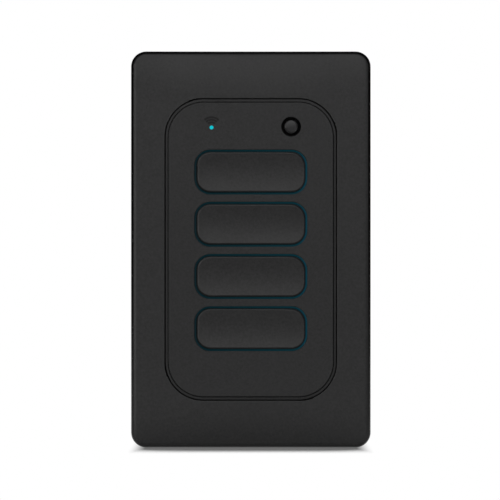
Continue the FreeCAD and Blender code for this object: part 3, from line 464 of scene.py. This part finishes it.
# Signal arcs
# Three arcs above the status light that show a radio link, pad-printed in satin dark ink.
# The ink film is about a hundredth of a millimetre thick and lies on the fascia's field.

speckles_per_metre = 4200.0
ink_material, tree, shader = new_material("dark_ink")
speckle = place(tree, "ShaderNodeTexNoise", {
    "Vector": part_place(tree), "Scale": speckles_per_metre, "Detail": 2.0,
}).outputs["Fac"]
ink_tone = mix_colours(tree, speckle, (0.003, 0.003, 0.0031, 1), (0.006, 0.006, 0.0061, 1))
ink_sheen = reckon(tree, "MULTIPLY_ADD", speckle, 0.15, 0.5)
tree.links.new(ink_tone, shader.inputs["Base Color"])
tree.links.new(ink_sheen, shader.inputs["Roughness"])
shader.inputs["Specular IOR Level"].default_value = 0.15


def arc_band(centre, inner, outer, half_angle, steps=24):
    """The outline of a band between two radii, about the upward direction."""
    angles = [math.pi / 2 - half_angle + 2 * half_angle * step / steps for step in range(steps + 1)]
    rim = [(centre[0] + outer * math.cos(a), centre[1] + outer * math.sin(a)) for a in angles]
    hollow = [(centre[0] + inner * math.cos(a), centre[1] + inner * math.sin(a)) for a in reversed(angles)]
    return rim + hollow


lens_middle = front_middle(*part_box("status_lens"))
first_arc = 0.00125
arc_pitch = 0.00077
arc_width = 0.00058
arc_half_angle = math.radians(44)
ink_root = 0.00002
ink_height = 0.00001
arc_outlines = []
for arc in range(3):
    inner_arc = first_arc + arc * arc_pitch
    arc_outlines.append(arc_band(lens_middle, inner_arc, inner_arc + arc_width, arc_half_angle))
signal_arcs = raised_shape("signal_arcs", arc_outlines, fascia_front + ink_root, fascia_front - ink_height)
signal_arcs.data.materials.append(ink_material)
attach(signal_arcs, "base")

# Key carriers
# Four smoked translucent carriers, moulded in acrylic, that guide the keys and ring them with a glow
# painted in as emission.
# The painted glow stands for the light of the lamp at each one's right end: strongest there, and faintest
# next to the cap.

rim_fade = 0.00042
end_overlap = 0.0005
haze_per_metre = 900.0
halo_acrylic, tree, shader = new_material("halo_acrylic")
rim_glow = remap(
    tree, from_keys(tree)["Distance"], 0.0, rim_fade, 0.35, 1.0, interpolation_type="SMOOTHSTEP",
)
rightward = remap(tree, along(tree, "X"), -cap_half_x - end_overlap, cap_half_x + end_overlap)
glow_colour = place(tree, "ShaderNodeValToRGB", {"Fac": rightward})
ramp = glow_colour.color_ramp
ramp.elements[0].color = (0.003, 0.013, 0.017, 1)
ramp.elements[1].color = (0.002, 0.034, 0.052, 1)
for position, colour in (
        (0.06, (0.001, 0.015, 0.02, 1)),
        (0.5, (0.001, 0.02, 0.027, 1)),
        (0.9, (0.001, 0.026, 0.036, 1))):
    ramp.elements.new(position).color = colour
flecks = place(tree, "ShaderNodeTexNoise", {
    "Vector": part_place(tree), "Scale": haze_per_metre, "Detail": 2.0,
}).outputs["Fac"]
haze = remap(tree, flecks, 0.0, 1.0, 0.85, 1.15)
glow = place(tree, "ShaderNodeVectorMath", {
    0: glow_colour.outputs["Color"], "Scale": reckon(tree, "MULTIPLY", rim_glow, haze),
}, operation="SCALE")
tree.links.new(glow.outputs[0], shader.inputs["Emission Color"])
shader.inputs["Emission Strength"].default_value = 1.0
smoke = mix_colours(tree, haze, (0.0004, 0.001, 0.0012, 1), (0.0008, 0.0016, 0.002, 1))
tree.links.new(smoke, shader.inputs["Base Color"])
smoke_sheen = reckon(tree, "MULTIPLY_ADD", haze, 0.1, 0.25)
tree.links.new(smoke_sheen, shader.inputs["Roughness"])
shader.inputs["Specular IOR Level"].default_value = 0.05
finish(halo_acrylic, *[f"halo_skirt_{key}" for key in keys])

# Key caps
# Four opaque black caps, dished from top to bottom, each pressed over its carrier's plug.
# A soft-feel coat over the moulded skin gives them a slightly silkier face than the fascia.

key_plastic = moulded(
    "key_plastic", (0.0065, 0.0065, 0.0067), (0.0165, 0.0165, 0.0167),
    grains=1500.0, sheen=0.38, gloss=0.2, relief=0.000017,
)
tree = key_plastic.node_tree
outline = from_keys(tree)

# The rim looks rolled along the left end and at the upper right corner
rolled_from = -0.0007
rolled_to = 0.0002
roll_depth = 0.00022
left_start = 0.0045
left_full = 0.003
head_bare = 0.0045
head_full = 0.0025
right_start = 0.006
right_full = 0.0045
corner_start = 0.001
corner_full = 0.0035
across = along(tree, "X")
at_left = remap(tree, across, left_start - cap_half_x, left_full - cap_half_x)
below_head = remap(tree, outline["Drop"], -head_bare, -head_full)
at_right = remap(tree, across, cap_half_x - right_start, cap_half_x - right_full)
above_middle = remap(tree, outline["Drop"], -corner_start, -corner_full)
left_end = reckon(tree, "MULTIPLY", at_left, below_head)
right_corner = reckon(tree, "MULTIPLY", at_right, above_middle)
rolled = reckon(tree, "MAXIMUM", left_end, right_corner)
edge_fall = remap(tree, outline["Distance"], rolled_from, rolled_to, interpolation_type="SMOOTHSTEP")
soft_rim = place(tree, "ShaderNodeBump", {
    "Strength": 1.0, "Distance": roll_depth, "Height": reckon(tree, "MULTIPLY", edge_fall, rolled),
}, invert=True)
tree.links.new(soft_rim.outputs["Normal"], tree.nodes["Bump"].inputs["Normal"])

# The cap's side in the gap is painted near black and dull, and the rim along its foot partly darker: both
# painted shade
side_start = 0.00045
side_full = 0.0006
foot_shade = 0.6
foot_start = 0.0025
foot_full = 0.0008
rim_start = 0.0006
rim_full = 0.0003
gap_side_painted_shade = remap(tree, along(tree, "Y"), cap_low.y + side_start, cap_low.y + side_full)
near_rim = remap(tree, outline["Distance"], -rim_start, -rim_full)
at_foot = remap(tree, outline["Drop"], cap_half_z - foot_start, cap_half_z - foot_full)
foot_painted_shade = reckon(tree, "MULTIPLY", near_rim, at_foot)
foot_painted_shade = reckon(tree, "MULTIPLY", foot_painted_shade, foot_shade)
darken(key_plastic, reckon(tree, "MAXIMUM", gap_side_painted_shade, foot_painted_shade))
finish(key_plastic, *[f"button_cap_{key}" for key in keys])

# Pairing button
# A small round button with a domed face, moulded in the same kind of plastic as the keys.
# Its flange runs behind the fascia, and in its round gap it is painted near black and dull as painted
# shade.

pair_plastic = moulded(
    "pair_plastic", (0.008, 0.008, 0.0082), (0.013, 0.013, 0.0132),
    grains=3000.0, sheen=0.36, gloss=0.2, relief=0.00001,
)
tree = pair_plastic.node_tree

# The face is shaded as a dome that leans mostly up and down, and its rim is rubbed shinier
dome_radius = 0.00715
dome_side_lean = 0.3
dome_edge = 0.0013
flat_edge = 0.0016
rubbed_sheen = 0.25
pair_side_start = 0.0005
pair_side_full = 0.0007
way, radius = from_middle(tree, pair_middle)
lean = (dome_side_lean / dome_radius, 0.0, 1 / dome_radius)
leaning = reckon_vector(tree, "MULTIPLY", way, lean)["Vector"]
outward = reckon_vector(tree, "ADD", leaning, (0.0, -1.0, 0.0))["Vector"]
dome_normal = reckon_vector(tree, "NORMALIZE", outward)["Vector"]
on_rim = remap(tree, radius, dome_edge, flat_edge)
solid_normal = place(tree, "ShaderNodeNewGeometry", {}).outputs["Normal"]
smooth_normal = place(tree, "ShaderNodeMix", {
    "Factor": on_rim, 4: dome_normal, 5: solid_normal,
}, data_type="VECTOR").outputs[1]
tree.links.new(smooth_normal, tree.nodes["Bump"].inputs["Normal"])
shader = tree.nodes["Principled BSDF"]
button_sheen = shader.inputs["Roughness"].links[0].from_socket
tree.links.new(mix_numbers(tree, on_rim, button_sheen, rubbed_sheen), shader.inputs["Roughness"])
# Painted shade: the flange and the side below the rim are painted near black and dull
gap_side_painted_shade = remap(tree, along(tree, "Y"), pair_low.y + pair_side_start, pair_low.y + pair_side_full)
darken(pair_plastic, gap_side_painted_shade)
finish(pair_plastic, "pair_button")

# Status light
# A clear acrylic light pipe that stands in the fascia's small round hole, over the status lamp.
# It is moulded with a shoulder that rests behind the field, and its cyan glow is painted in as emission,
# standing for the lamp's light.

core_per_metre = 1500.0
lens_acrylic, tree, shader = new_material("lens_acrylic")
core = place(tree, "ShaderNodeTexNoise", {
    "Vector": part_place(tree), "Scale": core_per_metre, "Detail": 1.0,
}).outputs["Fac"]
lit = mix_colours(tree, core, (0.0, 0.41, 0.47, 1), (0.001, 0.51, 0.575, 1))
tree.links.new(lit, shader.inputs["Emission Color"])
shader.inputs["Emission Strength"].default_value = 1.0
shader.inputs["Base Color"].default_value = (0.0, 0.03, 0.035, 1)
shader.inputs["Specular IOR Level"].default_value = 0.1
lens_sheen = reckon(tree, "MULTIPLY_ADD", core, 0.1, 0.15)
tree.links.new(lens_sheen, shader.inputs["Roughness"])
finish(lens_acrylic, "status_lens")

# Face plate
# The outer cover, moulded in matte black plastic, that snaps over the bracket's rim.
# Its front is flat round the fascia and falls away in a low crown at the top and the bottom.

plate_depth = -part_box("face_plate")[0].y
plate_plastic = moulded(
    "plate_plastic", (0.007, 0.007, 0.0072), (0.0167, 0.0167, 0.0169),
    grains=1450.0, sheen=0.42, gloss=0.2, relief=0.000018,
)
tree = plate_plastic.node_tree
from_centre = reckon_vector(tree, "ABSOLUTE", part_place(tree))["Vector"]
reach = place(tree, "ShaderNodeSeparateXYZ", {"Vector": from_centre}).outputs

# The edge is painted darker, as painted shade, and made shinier in a band where it turns, but not on the
# side walls
band_deepest = 0.0024
band_full = 0.0014
band_shade = 0.95
normal = place(tree, "ShaderNodeNewGeometry", {}).outputs["Normal"]
facing = place(tree, "ShaderNodeSeparateXYZ", {"Vector": normal}).outputs["Y"]
turned_painted_shade = remap(tree, facing, -0.91, -0.77, high=band_shade)
near_front = remap(tree, reach["Y"], plate_depth - band_deepest, plate_depth - band_full)
darken(plate_plastic, reckon(tree, "MULTIPLY", turned_painted_shade, near_front), tone=0.0012, sheen=0.22)

# The window's walls are dark and dull, and come last, so that the band's shine doesn't reach them
window_margin = 0.0002
window_start = 0.0004
in_width = reckon(tree, "LESS_THAN", reach["X"], fascia_high.x + window_margin)
in_height = reckon(tree, "LESS_THAN", reach["Z"], fascia_high.z + window_margin)
behind_front = reckon(tree, "LESS_THAN", reach["Y"], plate_depth - window_start)
in_window = reckon(tree, "MULTIPLY", in_width, in_height)
in_window = reckon(tree, "MULTIPLY", in_window, behind_front)
darken(plate_plastic, in_window, tone=0.012)
finish(plate_plastic, "face_plate")

# Studio
# The part stands on a white floor under a large soft lamp, high up and a little to the left.
# The floor shows white to the eye as emission, with a painted shadow near the part from ambient occlusion,
# kept white beside the part's ends.
# In reflections the room is dark, with a grey front, three soft bright cards and a white patch behind.

floor_forward = 0.19
floor_front = cad_low.y - floor_forward
floor_reach = 0.6
floor_mesh = bpy.data.meshes.new("floor")
floor_mesh.from_pydata([
    (-floor_reach, floor_front, cad_low.z), (floor_reach, floor_front, cad_low.z),
    (floor_reach, floor_reach, cad_low.z), (-floor_reach, floor_reach, cad_low.z),
], [], [(0, 1, 2, 3)])
floor = bpy.data.objects.new("floor", floor_mesh)
bpy.context.scene.collection.objects.link(floor)

shelter_reach = 0.024
fade_inside = 0.006
fade_outside = 0.0005
mirrored_floor = 0.6
floor_white, tree, shader = new_material("floor_white")
shader.inputs["Base Color"].default_value = (0.7, 0.7, 0.7, 1)
shader.inputs["Roughness"].default_value = 1.0
shader.inputs["Specular IOR Level"].default_value = 0.0
# Painted shadow: ambient occlusion near the part darkens the floor's emission, which stays white beside the
# part's ends
shelter = place(tree, "ShaderNodeAmbientOcclusion", {"Distance": shelter_reach}, samples=16).outputs["AO"]
shadow = remap(tree, shelter, 0.7, 0.97, 0.15, 1.0)
aside = reckon(tree, "ABSOLUTE", along(tree, "X"))
beside_part = remap(
    tree, aside, cad_high.x - fade_inside, cad_high.x + fade_outside, interpolation_type="SMOOTHSTEP",
)
shadow = reckon(tree, "MAXIMUM", shadow, beside_part)
rays = place(tree, "ShaderNodeLightPath", {}).outputs
lit_mirror = reckon(tree, "MULTIPLY", rays["Is Glossy Ray"], mirrored_floor)
floor_tone = reckon(tree, "MAXIMUM", shadow, lit_mirror)
shown = place(tree, "ShaderNodeEmission", {"Color": floor_tone, "Strength": 1.0})
seen = reckon(tree, "MAXIMUM", rays["Is Camera Ray"], rays["Is Glossy Ray"])
seen = reckon(tree, "MAXIMUM", seen, rays["Is Transmission Ray"])
floor_surface = place(tree, "ShaderNodeMixShader", {
    0: seen, 1: shader.outputs["BSDF"], 2: shown.outputs["Emission"],
})
tree.links.new(floor_surface.outputs[0], tree.nodes["Material Output"].inputs["Surface"])
floor_mesh.materials.append(floor_white)

world = bpy.data.worlds.new("studio")
bpy.context.scene.world = world
world.use_nodes = True
tree = world.node_tree
direction = place(tree, "ShaderNodeTexCoord", {}).outputs["Generated"]
backward = place(tree, "ShaderNodeSeparateXYZ", {"Vector": direction}).outputs["Y"]
dark_side = 0.02
grey_front = 0.38
reflected = remap(tree, backward, -0.1, -0.5, dark_side, grey_front)
for card_direction, card_edge, card_full, card_strength in (
        ((0.0, -0.89, 0.455), 0.87, 0.975, 2.7),
        ((-0.65, -0.75, 0.1), 0.955, 0.99, 8.0),
        ((0.52, -0.66, -0.54), 0.9, 0.98, 10.0)):
    toward = reckon_vector(tree, "DOT_PRODUCT", direction, card_direction)["Value"]
    card = remap(tree, toward, card_edge, card_full, 0.0, card_strength, interpolation_type="SMOOTHSTEP")
    reflected = reckon(tree, "ADD", reflected, card)
backdrop = remap(tree, backward, 0.985, 0.99)
reflected = reckon(tree, "MAXIMUM", reflected, backdrop)
front_fill = remap(tree, backward, 0.0, -0.9, 0.05, 0.85)
back_fill = remap(tree, backward, 0.2, 0.9, 0.0, 0.8)
room = tree.nodes["Background"]
room.inputs["Color"].default_value = (1, 1, 1, 1)
tree.links.new(reckon(tree, "ADD", front_fill, back_fill), room.inputs["Strength"])
mirrored_room = place(tree, "ShaderNodeBackground", {"Color": (1, 1, 1, 1), "Strength": reflected})
white_room = place(tree, "ShaderNodeBackground", {"Color": (1, 1, 1, 1), "Strength": 1.0})
rays = place(tree, "ShaderNodeLightPath", {}).outputs
bounced = reckon(tree, "MAXIMUM", rays["Is Glossy Ray"], rays["Is Transmission Ray"])
unseen = place(tree, "ShaderNodeMixShader", {0: bounced, 1: room.outputs[0], 2: mirrored_room.outputs[0]})
world_surface = place(tree, "ShaderNodeMixShader", {
    0: rays["Is Camera Ray"], 1: unseen.outputs[0], 2: white_room.outputs[0],
})
tree.links.new(world_surface.outputs[0], tree.nodes["World Output"].inputs["Surface"])

# The lamp's azimuth is 0 at the front and falls to the left
lamp_azimuth = math.radians(-8)
lamp_elevation = math.radians(42)
lamp_distance = 1.2
top_light = bpy.data.lights.new("top_lamp", "AREA")
top_light.shape = "RECTANGLE"
top_light.size = 1.1
top_light.size_y = 0.7
top_light.energy = 7.0
top_lamp = bpy.data.objects.new("top_lamp", top_light)
top_lamp.location = (
    lamp_distance * math.cos(lamp_elevation) * math.sin(lamp_azimuth),
    -lamp_distance * math.cos(lamp_elevation) * math.cos(lamp_azimuth),
    lamp_distance * math.sin(lamp_elevation),
)
top_lamp.rotation_euler = (math.pi / 2 - lamp_elevation, 0, lamp_azimuth)
top_lamp.visible_glossy = False
bpy.context.scene.collection.objects.link(top_lamp)

camera_data = bpy.data.cameras.new("camera")
camera_data.sensor_width = 36.0
camera_data.lens = 214.15
camera = bpy.data.objects.new("camera", camera_data)
camera.location = (-0.00026, -0.9134, -0.000155)
camera.rotation_euler = (math.pi / 2, 0, 0)
bpy.context.scene.collection.objects.link(camera)
bpy.context.scene.camera = camera
bpy.context.scene.view_settings.view_transform = "Standard"
